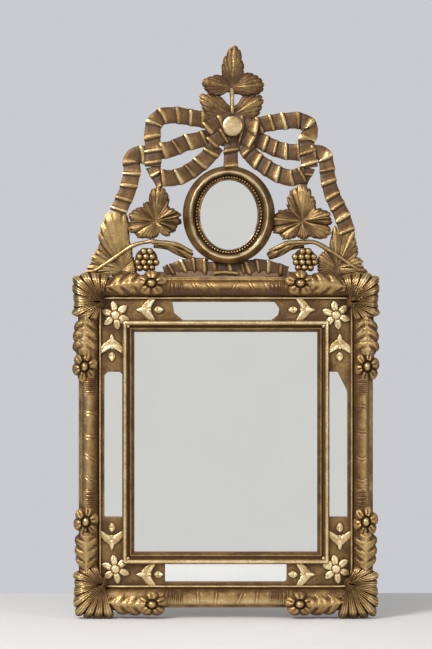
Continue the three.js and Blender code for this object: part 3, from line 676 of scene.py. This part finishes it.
finished(margin_panel, "margin_panel", gilding_material(
    "gilt_margin", 0.44, 0.55, (0.5, 0.33, 0.13, 1), (0.095, 0.045, 0.016, 1), 0.8))


# Sight moulding: a narrow mitred frame of gilt wood round the main glass, a broad bead outside and a
# finer one next to the glass. Its tongue stands in the panel's opening and holds the glass in place.
SIGHT_SECTION = [
    (0, 11), (0, 16.5), (2.4, 18.2), (4, 20.6), (5.2, 22.2), (6.4, 22.3), (7.6, 21.2), (8.6, 20.2),
    (10.4, 21.8), (11.4, 24.6), (12.8, 27.2), (14.6, 28.4), (16.4, 28.3), (18, 27), (19.2, 24.8),
    (20, 20), (9.7, 20), (9.7, 11)]
# Gilding with painted light for each point of the section: painted highlights on the two beads, painted shade
# in the coves beside them.
SIGHT_GILDING_AND_PAINTED_LIGHT = [
    -1, 0.05, 0.0, 0.12, 0.42, 0.42, 0.12, -0.05, 0.0, 0.3, 0.66, 0.86, 0.9, 0.8, 0.5, 0.2, -1, -1]
SIGHT_STATIONS = 60


def sight_run(i, j):
    """The moulding round the rectangle, mitred where two sides meet."""
    section = np.array(SIGHT_SECTION)[j % len(SIGHT_SECTION)]
    side, station = np.divmod(i % (4 * SIGHT_STATIONS), SIGHT_STATIONS)
    share = station / SIGHT_STATIONS
    corners = np.array([(-1, 1), (1, 1), (1, -1), (-1, -1), (-1, 1)])
    start, end = corners[side], corners[side + 1]
    way = start + (end - start) * share[:, None]
    across = way[:, 0] * (SIGHT_ACROSS + section[:, 0])
    up = way[:, 1] * (SIGHT_UP + section[:, 0])
    return across, up, section[:, 1], np.array(SIGHT_GILDING_AND_PAINTED_LIGHT)[j % len(SIGHT_GILDING_AND_PAINTED_LIGHT)]


sight_moulding = joined("run_sight_moulding", [
    carve(4 * SIGHT_STATIONS, len(SIGHT_SECTION), sight_run, FRAME_MIDDLE)])
finished(sight_moulding, "sight_moulding", gilding_material(
    "gilt_sight", 0.5, 0.7, (0.5, 0.32, 0.125, 1), (0.09, 0.038, 0.014, 1), 0.5))


# Crest: an openwork carving pinned to the top rail: an oval moulding, a pleated ribbon bow with its
# button, vine leaves, stems and grapes. It is carved from one board and gilded like the frame.
oval_low, oval_high = (np.array(corner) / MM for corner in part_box("oval_mirror"))
OVAL_ACROSS = ((oval_low + oval_high) / 2)[0]
OVAL_RISE = 102
CREST_FOOT = ((oval_low + oval_high) / 2)[2] - OVAL_RISE
OVAL_SIGHT = np.array((47.5, 57.5))
OVAL_OUTER = np.array((76.5, 81.5))
OVAL_REBATE = 0.19
RIBBON_BACK = 3
RIBBON_LAYER = 0.2
PLEAT = 21
PLEAT_FOLD = 4.5
OVAL_SECTION = [
    (0, 15.3), (0.02, 21), (0.06, 22.6), (0.12, 22), (0.2, 20.2), (0.27, 19.8), (0.33, 22), (0.4, 27.4),
    (0.46, 31.4), (0.52, 34.2), (0.57, 35.2), (0.62, 34.4), (0.68, 32), (0.77, 28.6), (0.87, 25),
    (0.95, 21.4), (1, 17), (1, 1), (OVAL_REBATE, 1), (OVAL_REBATE, 15.3)]
# Gilding with painted light for each point of the section: a painted highlight along the crest of the broad
# round, painted shade in the cove.
OVAL_GILDING_AND_PAINTED_LIGHT = [
    0.1, 0.4, 0.5, 0.3, 0.0, -0.05, 0.05, 0.3, 0.7, 1.1, 1.3, 1.1, 0.6, 0.42, 0.4, 0.36, 0.2, -1, -1, -1]
OVAL_STATIONS = 144


def oval_run(i, j):
    """The oval moulding: a narrow lip, a cove and a broad round."""
    section = np.array(OVAL_SECTION)[j % len(OVAL_SECTION)]
    turn = 2 * np.pi * (i % OVAL_STATIONS) / OVAL_STATIONS
    semi = OVAL_SIGHT + (OVAL_OUTER - OVAL_SIGHT) * section[:, :1]
    uneven = 0.6 * np.sin(11 * turn) * np.sin(4 * turn + 1) * (section[:, 1] > 18)
    # The carved waviness also lightens its high places and darkens its low ones as painted highlight and
    # shade.
    gilding_and_painted_light = np.array(OVAL_GILDING_AND_PAINTED_LIGHT)[j % len(OVAL_GILDING_AND_PAINTED_LIGHT)] + 0.4 * uneven
    return (OVAL_ACROSS + semi[:, 0] * np.cos(turn), OVAL_RISE + semi[:, 1] * np.sin(turn),
            section[:, 1] + uneven, gilding_and_painted_light)


def ribbon(points, back, front, width, end_width):
    """A pleated ribbon along a curve: flat folds that each end in a turned edge, with a painted highlight on
    each turned edge, painted shade in the valleys and towards the ribbon's sides, stronger on some folds than
    others.
    """
    def shape(share, side, length):
        folds = max(1, round(length / PLEAT))
        run = folds * share + 0.1 * side + 0.07 * np.sin(2.3 * folds * share)
        phase = run % 1
        # How strongly each fold carries its painted highlight and shade, varying from fold to fold.
        bright = 0.62 + 0.38 * np.sin(2.4 * np.floor(run) + length)
        wave = np.interp(phase, [0, 0.08, 0.5, 0.66, 0.84, 0.94, 1], [0.05, 0.2, 0.42, 0.9, 1, 0.4, 0.05])
        half = (width + (end_width - width) * share) / 2 + 1.3 * (wave - 0.5)
        depth = front - PLEAT_FOLD * (1 - wave) - 1.8 * np.abs(side) ** 6
        gilding_and_painted_light = np.interp(phase, [0, 0.1, 0.48, 0.62, 0.72, 0.84, 0.94, 1],
                            [-0.05, 0.16, 0.36, 0.6, 1.15, 0.9, 0.15, -0.05])
        return half, depth, gilding_and_painted_light * (0.4 + 0.6 * bright) - 0.06 - 0.12 * np.abs(side) ** 4

    return swept(points, back, shape, CREST_FOOT)


def stem(points, radius, depth_at, taper=0.8):
    """A round stem along a curve, thinner towards its end."""
    place, heading, length = run_along(points)
    columns, ring = max(8, int(length / 3)) + 2, 14

    def form(i, j):
        share = np.clip((i - 1) / (columns - 2), 0, 1)
        index = np.rint(share * (len(place) - 1)).astype(int)
        turn = 2 * np.pi * (j % ring) / ring
        closed = (i == 0) | (i == columns)
        knots = 1 + 0.1 * np.cos(share * length / 6)
        thick = np.where(closed, 0, radius * (1 - (1 - taper) * share) * knots)
        side = thick * np.cos(turn)
        # Painted highlight along the stem's front, its sides darker as painted shade.
        gilding_and_painted_light = 0.3 + 0.5 * np.sin(turn)
        return (place[index, 0] - heading[index, 1] * side, place[index, 1] + heading[index, 0] * side,
                depth_at + thick * np.sin(turn), gilding_and_painted_light)

    return carve(columns, ring, form, CREST_FOOT)


def ball(centre, depth, radius, segments=14, rings=9):
    """A carved berry or bead, a round ball."""
    bpy.ops.object.select_all(action="DESELECT")
    bpy.ops.mesh.primitive_uv_sphere_add(segments=segments, ring_count=rings, radius=radius * MM)
    berry = bpy.context.object
    for vertex in berry.data.vertices:
        vertex.co = (vertex.co.x + centre[0] * MM, vertex.co.z - depth * MM,
                     vertex.co.y + (centre[1] + CREST_FOOT) * MM)
    # Painted highlight on the front of each berry or bead, its sides darker.
    laid = berry.data.attributes.new("gilding_and_painted_light", "FLOAT", "POINT")
    for vertex, place in zip(berry.data.vertices, laid.data):
        place.value = 0.25 + 0.6 * max(0, -(vertex.co.y + depth * MM) / (radius * MM))
    bpy.ops.object.mode_set(mode="EDIT")
    bpy.ops.mesh.select_all(action="SELECT")
    bpy.ops.mesh.normals_make_consistent(inside=False)
    bpy.ops.object.mode_set(mode="OBJECT")
    return berry


crest_carvings = [carve(OVAL_STATIONS, len(OVAL_SECTION), oval_run, CREST_FOOT)]
OVAL_BEADS, OVAL_BEAD_RADIUS, OVAL_BEAD_DEPTH, OVAL_BEAD_PLACE = 72, 2.5, 21.5, 0.22
for bead in range(OVAL_BEADS):
    turn = 2 * np.pi * bead / OVAL_BEADS
    semi = OVAL_SIGHT + (OVAL_OUTER - OVAL_SIGHT) * OVAL_BEAD_PLACE
    crest_carvings.append(ball((OVAL_ACROSS + semi[0] * np.cos(turn), OVAL_RISE + semi[1] * np.sin(turn)),
                               OVAL_BEAD_DEPTH, OVAL_BEAD_RADIUS, segments=8, rings=6))

# Ribbon bow: the loops, the festoons under them, the tails down to the leaves, and the ribbon at the foot,
# each with its front depth and its width at both ends. Each ribbon's back is a little in front of the last.
BOW = [
    ([(0, 249), (-30, 259), (-56, 264), (-83, 268), (-106, 266), (-119, 254), (-122, 236), (-121, 214),
      (-121, 183)], 19, 27, 27),
    ([(-20, 233), (-50, 226), (-70, 221), (-88, 213), (-110, 208)], 17, 27, 27),
    ([(-15, 218), (-30, 199), (-48, 183), (-66, 171), (-86, 164), (-108, 164)], 20, 27, 27),
    ([(-124, 201), (-146, 202), (-156, 193), (-156, 174), (-160, 156), (-165, 139), (-180, 106)],
     17, 30, 27),
    ([(-121, 183), (-109, 146)], 16, 26, 8),
    ([(17, 246), (44, 249), (67, 254), (94, 258), (122, 259), (138, 250), (139, 236), (134, 222),
      (140, 181)], 19, 27, 27),
    ([(35, 236), (60, 224), (80, 214), (100, 208), (124, 206)], 17, 27, 27),
    ([(29, 221), (45, 199), (65, 183), (87, 170), (109, 164), (132, 171)], 20, 27, 27),
    ([(132, 204), (152, 207), (164, 200), (168, 184), (170, 164), (177, 136), (194, 99), (202, 72)],
     17, 24, 27),
    ([(137, 181), (128, 148)], 16, 25, 8),
    ([(9, 226), (8, 178)], 20, 24, 24),
    ([(-103, 8), (-80, 15), (-56, 20), (-30, 17)], 16, 18, 26),
    ([(-34, 15), (0, 13), (34, 14)], 14, 20, 20),
    ([(103, 8), (80, 14), (56, 18), (30, 14)], 16, 18, 25),
]
for order, (points, front, width, end_width) in enumerate(BOW):
    crest_carvings.append(ribbon(points, RIBBON_BACK + RIBBON_LAYER * (order + 1), front, width, end_width))

# Leaves: the heart that their ribs spring from, back and front depths, tone of the gilding, and outline
LEAVES = {
    "crown": ((10, 314), 3, 20, -0.16, [
        (22, 303), (28, 300), (45, 301), (57, 303), (62, 308), (64, 316), (62, 324), (56, 331), (47, 336),
        (40, 339), (31, 338), (29, 344), (32, 349), (29, 355), (27, 362), (25, 374), (22, 380), (15, 384),
        (8, 381), (4, 376), (1, 369), (-3, 364), (-5, 356), (-7, 350), (-7, 342), (-6, 335), (-10, 334),
        (-15, 336), (-22, 333), (-30, 331), (-36, 328), (-41, 323), (-39, 317), (-36, 311), (-31, 305),
        (-24, 301), (-10, 300), (-4, 303), (2, 307), (10, 308)]),
    "skirt": ((10, 266), 3, 18, -0.16, [
        (42, 262), (52, 264), (57, 271), (60, 280), (63, 292), (62, 297), (57, 302), (45, 302), (30, 301),
        (26, 297), (20, 287), (12, 281), (6, 284), (1, 289), (-6, 297), (-10, 301), (-24, 302), (-33, 304),
        (-40, 304), (-45, 300), (-44, 292), (-40, 280), (-36, 272), (-30, 263), (10, 250)]),
    "left vine": ((-117, 92), 3, 21, 0.06, [
        (-112, 150), (-120, 147), (-125, 143), (-127, 135), (-128, 125), (-137, 122), (-138, 115),
        (-143, 116), (-150, 113), (-160, 105), (-163, 101), (-159, 94), (-163, 85), (-161, 74), (-150, 70),
        (-148, 64), (-133, 63), (-122, 62), (-113, 66), (-110, 73), (-103, 67), (-93, 66), (-91, 72),
        (-85, 73), (-81, 80), (-80, 84), (-74, 87), (-72, 93), (-79, 97), (-73, 101), (-76, 106),
        (-83, 109), (-84, 112), (-93, 114), (-95, 120), (-93, 128), (-96, 137), (-101, 146)]),
    "right vine": ((127, 92), 3, 21, 0.06, [
        (127, 153), (134, 150), (141, 145), (143, 135), (148, 131), (150, 122), (150, 113), (157, 114),
        (163, 110), (170, 109), (175, 104), (174, 98), (178, 90), (172, 84), (176, 72), (165, 62),
        (152, 62), (140, 66), (130, 60), (118, 66), (105, 61), (93, 61), (92, 66), (85, 71), (77, 72),
        (76, 80), (75, 88), (74, 95), (77, 102), (83, 104), (87, 110), (97, 111), (103, 113), (104, 118),
        (100, 122), (101, 132), (106, 136), (106, 144), (115, 147), (120, 152)]),
    "left side": ((-172, 12), 2, 15, 0.18, [
        (-176, 111), (-190, 111), (-200, 103), (-204, 92), (-206, 88), (-209, 80), (-212, 68), (-210, 55),
        (-213, 48), (-218, 40), (-225, 30), (-222, 26), (-226, 22), (-232, 14), (-233, 8), (-230, 2),
        (-190, 2), (-148, 2), (-150, 20), (-155, 35), (-160, 60), (-163, 102)]),
    "right side": ((185, 14), 2, 15, 0.08, [
        (180, 85), (192, 80), (208, 77), (214, 76), (216, 62), (219, 50), (221, 40), (218, 33), (226, 29),
        (229, 24), (226, 20), (231, 14), (236, 8), (235, 2), (195, 2), (155, 2), (152, 20), (152, 32),
        (162, 42), (172, 48), (174, 62)]),
}
for heart, back, front, tone, outline in LEAVES.values():
    crest_carvings.append(relief(heart, outline, back, front, CREST_FOOT, tone=tone))

# Knot of the bow: a low ground and four short turns of ribbon over it, then a twig beside each vine stem
KNOT_HEART, KNOT_BACK, KNOT_FRONT = (10, 248), 6, 19
KNOT = [(-26, 254), (-30, 240), (-22, 228), (-6, 216), (11, 219), (28, 216), (44, 228), (48, 242), (42, 254),
        (30, 268), (-8, 268)]
SHADED = -0.3
crest_carvings.append(relief(KNOT_HEART, KNOT, KNOT_BACK, KNOT_FRONT, CREST_FOOT, columns=96, rows=8, lines=0,
                             tone=SHADED))
TURNS = [[(8, 256), (-12, 254), (-34, 244)], [(12, 256), (34, 252), (54, 244)],
         [(10, 238), (-8, 232), (-26, 220)], [(12, 238), (30, 232), (45, 220)]]
TURN_BACK, TURN_FRONT, TURN_WIDTH, TURN_END = 8, 25, 26, 22
for order, points in enumerate(TURNS):
    crest_carvings.append(ribbon(points, TURN_BACK + order, TURN_FRONT, TURN_WIDTH, TURN_END))
TWIGS = [[(-120, 53), (-97, 52), (-76, 43), (-56, 33)], [(130, 53), (107, 51), (88, 42), (70, 33)]]
TWIG_HALF_WIDTH, TWIG_FRONT = 9, 18
for points in TWIGS:
    crest_carvings.append(frond(points, TWIG_HALF_WIDTH, RIBBON_BACK, TWIG_FRONT, CREST_FOOT, leaflets=2))

# Vine stems and the two bunches of grapes
STEMS = [
    ([(-218, 9), (-188, 29), (-155, 51), (-123, 59)], 13),
    ([(-123, 58), (-93, 55), (-76, 51), (-56, 40)], 14),
    ([(129, 57), (149, 56), (179, 39), (222, 9)], 13),
    ([(131, 57), (104, 56), (90, 50), (72, 42)], 14),
    ([(10, 312), (11, 270)], 15),
    ([(-20, 6), (0, 7), (20, 5)], 14),
]
STEM_RADIUS = 4
for points, depth in STEMS:
    crest_carvings.append(stem(points, STEM_RADIUS, depth))
GRAPES = {-132: (3, 4, 3, 2), 131: (3, 4, 4, 2)}
BERRY, BERRY_PITCH, BERRY_RISE, BERRY_FOOT, BERRY_DEPTH = 5.9, 10.2, 9.2, 14, 20
GRAPE_GROUND_FRONT = 16
for across, counts in GRAPES.items():
    ground = [(across - 12, 14), (across + 12, 14), (across + 9, 45), (across - 9, 45)]
    crest_carvings.append(relief((across, 30), ground, RIBBON_BACK, GRAPE_GROUND_FRONT, CREST_FOOT,
                                 columns=48, rows=8, lines=0, tone=SHADED))
    for row, count in enumerate(counts):
        for berry in range(count):
            off = (berry - (count - 1) / 2) * BERRY_PITCH + (1.0 if row % 2 else -0.6)
            crest_carvings.append(ball((across + off, BERRY_FOOT + row * BERRY_RISE),
                                       BERRY_DEPTH - abs(off) * 0.25, BERRY))

# Button at the knot of the bow, a turned disc with a raised rim, and the plinth and tongues at the foot
BUTTON_HEART = (11, 248.5)
BUTTON = [(0, 10), (16.6, 10), (17.4, 12), (17.6, 30), (17.0, 33.6), (15.6, 35.2), (13, 35.6), (8, 35.7),
          (4, 35.8), (0, 35.9)]
BUTTON_STATIONS = 48
# Gilding with painted light: the button's flat front is made bright as a painted reflection, its rim less so.
BUTTON_GILDING_AND_PAINTED_LIGHT = [-1, -1, -1, 0.3, 0.7, 0.95, 0.95, 0.9, 0.9, 0.85]


def button(i, j):
    """The disc turned about its middle."""
    turn = 2 * np.pi * (i % BUTTON_STATIONS) / BUTTON_STATIONS
    radius, depth = np.array(BUTTON)[j].T
    return (BUTTON_HEART[0] + radius * np.cos(turn), BUTTON_HEART[1] + radius * np.sin(turn), depth,
            np.array(BUTTON_GILDING_AND_PAINTED_LIGHT)[j])


crest_carvings.append(carve(BUTTON_STATIONS, len(BUTTON) - 1, button, CREST_FOOT))
TONGUE_PLACE, TONGUE_WIDTH, TONGUE_LENGTH, TONGUE_THICK = 90, 50, 16, 8
PLINTH, PLINTH_BACK, PLINTH_FRONT = [(-102, 0.3), (106, 0.3), (106, 9), (-102, 9)], 2, 12
backing = [prism(PLINTH, PLINTH_BACK, PLINTH_FRONT, CREST_FOOT)]
for side in (-1, 1):
    middle, half = side * TONGUE_PLACE, TONGUE_WIDTH / 2
    backing.append(prism([(middle - half, -TONGUE_LENGTH), (middle + half, -TONGUE_LENGTH),
                          (middle + half, 8), (middle - half, 8)], 0.3, TONGUE_THICK, CREST_FOOT))
for block in backing:
    laid = block.data.attributes.new("gilding_and_painted_light", "FLOAT", "POINT")
    for place in laid.data:
        place.value = -1
crest = joined("carved_crest", crest_carvings + backing)
finished(crest, "crest", gilding_material(
    "gilt_crest", 0.63, 0.8, (0.45, 0.295, 0.12, 1), (0.085, 0.04, 0.015, 1), 0.5))


# Looking glasses: thin plates of old silvered glass lying in the rebates, one large, four in the margin
# and an oval. The silver is a little grey and clouded.
def mottled(name, scale, detail, dark, light, stretch=(1, 1, 1)):
    """A material whose colour runs between two stops over noise in the piece's own coordinates."""
    material = bpy.data.materials.new(name)
    material.use_nodes = True
    nodes, links = material.node_tree.nodes, material.node_tree.links
    place = nodes.new("ShaderNodeTexCoord")
    stretched = nodes.new("ShaderNodeMapping")
    stretched.inputs["Scale"].default_value = stretch
    noise = nodes.new("ShaderNodeTexNoise")
    noise.inputs["Scale"].default_value = scale
    noise.inputs["Detail"].default_value = detail
    links.new(place.outputs["Object"], stretched.inputs["Vector"])
    links.new(stretched.outputs["Vector"], noise.inputs["Vector"])
    ramp = nodes.new("ShaderNodeValToRGB")
    for stop, (position, colour) in zip(ramp.color_ramp.elements, (dark, light)):
        stop.position = position
        stop.color = colour
    links.new(noise.outputs["Fac"], ramp.inputs["Fac"])
    links.new(ramp.outputs["Color"], nodes["Principled BSDF"].inputs["Base Color"])
    return material, nodes["Principled BSDF"], noise.outputs["Fac"]


silvered, shader, cloud = mottled("silvered_glass", 9, 5, (0.3, (0.86, 0.87, 0.85, 1)),
                                  (0.7, (0.9, 0.905, 0.89, 1)))
nodes, links = silvered.node_tree.nodes, silvered.node_tree.links
shader.inputs["Metallic"].default_value = 1.0
haze = nodes.new("ShaderNodeMapRange")
haze.inputs["To Min"].default_value = 0.015
haze.inputs["To Max"].default_value = 0.06
links.new(cloud, haze.inputs["Value"])
links.new(haze.outputs["Result"], shader.inputs["Roughness"])
for node in ("main_mirror", "margin_mirror_left", "margin_mirror_right", "margin_mirror_top",
             "margin_mirror_bottom", "oval_mirror"):
    plate = bpy.data.objects[node]
    plate.data.materials.clear()
    plate.data.materials.append(silvered)


# Back boards: a planed pine board behind the glasses of the frame, and an oval one behind the crest's.
# They are left bare, darkened with age, and held in by the rebates.
bare_pine, shader, grain = mottled("bare_pine", 3, 8, (0.3, (0.09, 0.05, 0.025, 1)),
                                   (0.72, (0.27, 0.165, 0.085, 1)), stretch=(40, 40, 2.5))
nodes, links = bare_pine.node_tree.nodes, bare_pine.node_tree.links
shader.inputs["Roughness"].default_value = 0.75
planed = nodes.new("ShaderNodeBump")
planed.inputs["Strength"].default_value = 0.4
planed.inputs["Distance"].default_value = 0.0006
links.new(grain, planed.inputs["Height"])
links.new(planed.outputs["Normal"], shader.inputs["Normal"])
for node in ("backboard", "oval_backboard"):
    board = bpy.data.objects[node]
    board.data.materials.clear()
    board.data.materials.append(bare_pine)


# Studio: a plain pale floor under the mirror, soft light from the upper left, pale surroundings for the
# glass to mirror, and a camera straight in front at the height of the frame's upper part.
low_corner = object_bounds()[0]
bpy.ops.object.select_all(action="DESELECT")
bpy.ops.mesh.primitive_plane_add(size=1)
floor = bpy.context.object
floor.name = "studio_floor"
FLOOR_WIDTH, FLOOR_LENGTH, FLOOR_MIDDLE = 2.4, 1.25, -0.275
for vertex in floor.data.vertices:
    vertex.co = (vertex.co.x * FLOOR_WIDTH, FLOOR_MIDDLE + vertex.co.y * FLOOR_LENGTH, low_corner[2])
pale, shader, _ = mottled("pale_floor", 6, 2, (0, (0.78, 0.77, 0.75, 1)), (1, (0.84, 0.83, 0.81, 1)))
shader.inputs["Roughness"].default_value = 0.7
floor.data.materials.append(pale)

surroundings = bpy.data.worlds.new("studio")
surroundings.use_nodes = True
bpy.context.scene.world = surroundings
nodes, links = surroundings.node_tree.nodes, surroundings.node_tree.links
nodes.clear()
out = nodes.new("ShaderNodeOutputWorld")
seen = nodes.new("ShaderNodeBackground")
seen.inputs["Color"].default_value = (0.592, 0.596, 0.62, 1)
lit = nodes.new("ShaderNodeBackground")
direction = nodes.new("ShaderNodeTexCoord")
parts = nodes.new("ShaderNodeSeparateXYZ")
links.new(direction.outputs["Generated"], parts.inputs["Vector"])
ahead = nodes.new("ShaderNodeMapRange")
ahead.interpolation_type = "SMOOTHSTEP"
ahead.inputs["From Min"].default_value = -0.72
ahead.inputs["From Max"].default_value = -0.93
links.new(parts.outputs["Y"], ahead.inputs["Value"])
tone = nodes.new("ShaderNodeMix")
tone.data_type = "RGBA"
tone.inputs[6].default_value = (0.13, 0.135, 0.145, 1)
tone.inputs[7].default_value = (0.7, 0.7, 0.685, 1)
links.new(ahead.outputs["Result"], tone.inputs["Factor"])
overhead = nodes.new("ShaderNodeMapRange")
overhead.interpolation_type = "SMOOTHSTEP"
overhead.inputs["From Min"].default_value = 0.25
overhead.inputs["From Max"].default_value = 0.8
links.new(parts.outputs["Z"], overhead.inputs["Value"])
from_above = nodes.new("ShaderNodeMix")
from_above.data_type = "RGBA"
from_above.inputs[7].default_value = (0.6, 0.6, 0.61, 1)
links.new(overhead.outputs["Result"], from_above.inputs["Factor"])
links.new(tone.outputs[2], from_above.inputs[6])
links.new(from_above.outputs[2], lit.inputs["Color"])
path = nodes.new("ShaderNodeLightPath")
either = nodes.new("ShaderNodeMixShader")
links.new(path.outputs["Is Camera Ray"], either.inputs["Fac"])
links.new(lit.outputs["Background"], either.inputs[1])
links.new(seen.outputs["Background"], either.inputs[2])
links.new(either.outputs["Shader"], out.inputs["Surface"])

LAMPS = [("key", (-1.5, -1.9, 1.5), 0.8, 66), ("fill", (1.9, -1.6, 0.5), 1.0, 12)]
LAMPS_TOWARD = np.array((0, 0, -0.1))
for name, spot, size, energy in LAMPS:
    bpy.ops.object.light_add(type="AREA", location=spot)
    lamp = bpy.context.object
    lamp.name = name
    lamp.data.size = size
    lamp.data.energy = energy
    toward = LAMPS_TOWARD - np.array(spot)
    lamp.rotation_euler = (np.arctan2(np.hypot(toward[0], toward[1]), -toward[2]), 0,
                           np.arctan2(toward[1], toward[0]) - np.pi / 2)

bpy.ops.object.camera_add(location=(-0.0163, -4.0, -0.0625), rotation=(np.pi / 2, 0, 0))
camera = bpy.context.object
camera.data.sensor_fit = "HORIZONTAL"
camera.data.sensor_width = 36
camera.data.lens = 200
bpy.context.scene.camera = camera
bpy.context.scene.view_settings.view_transform = "Standard"
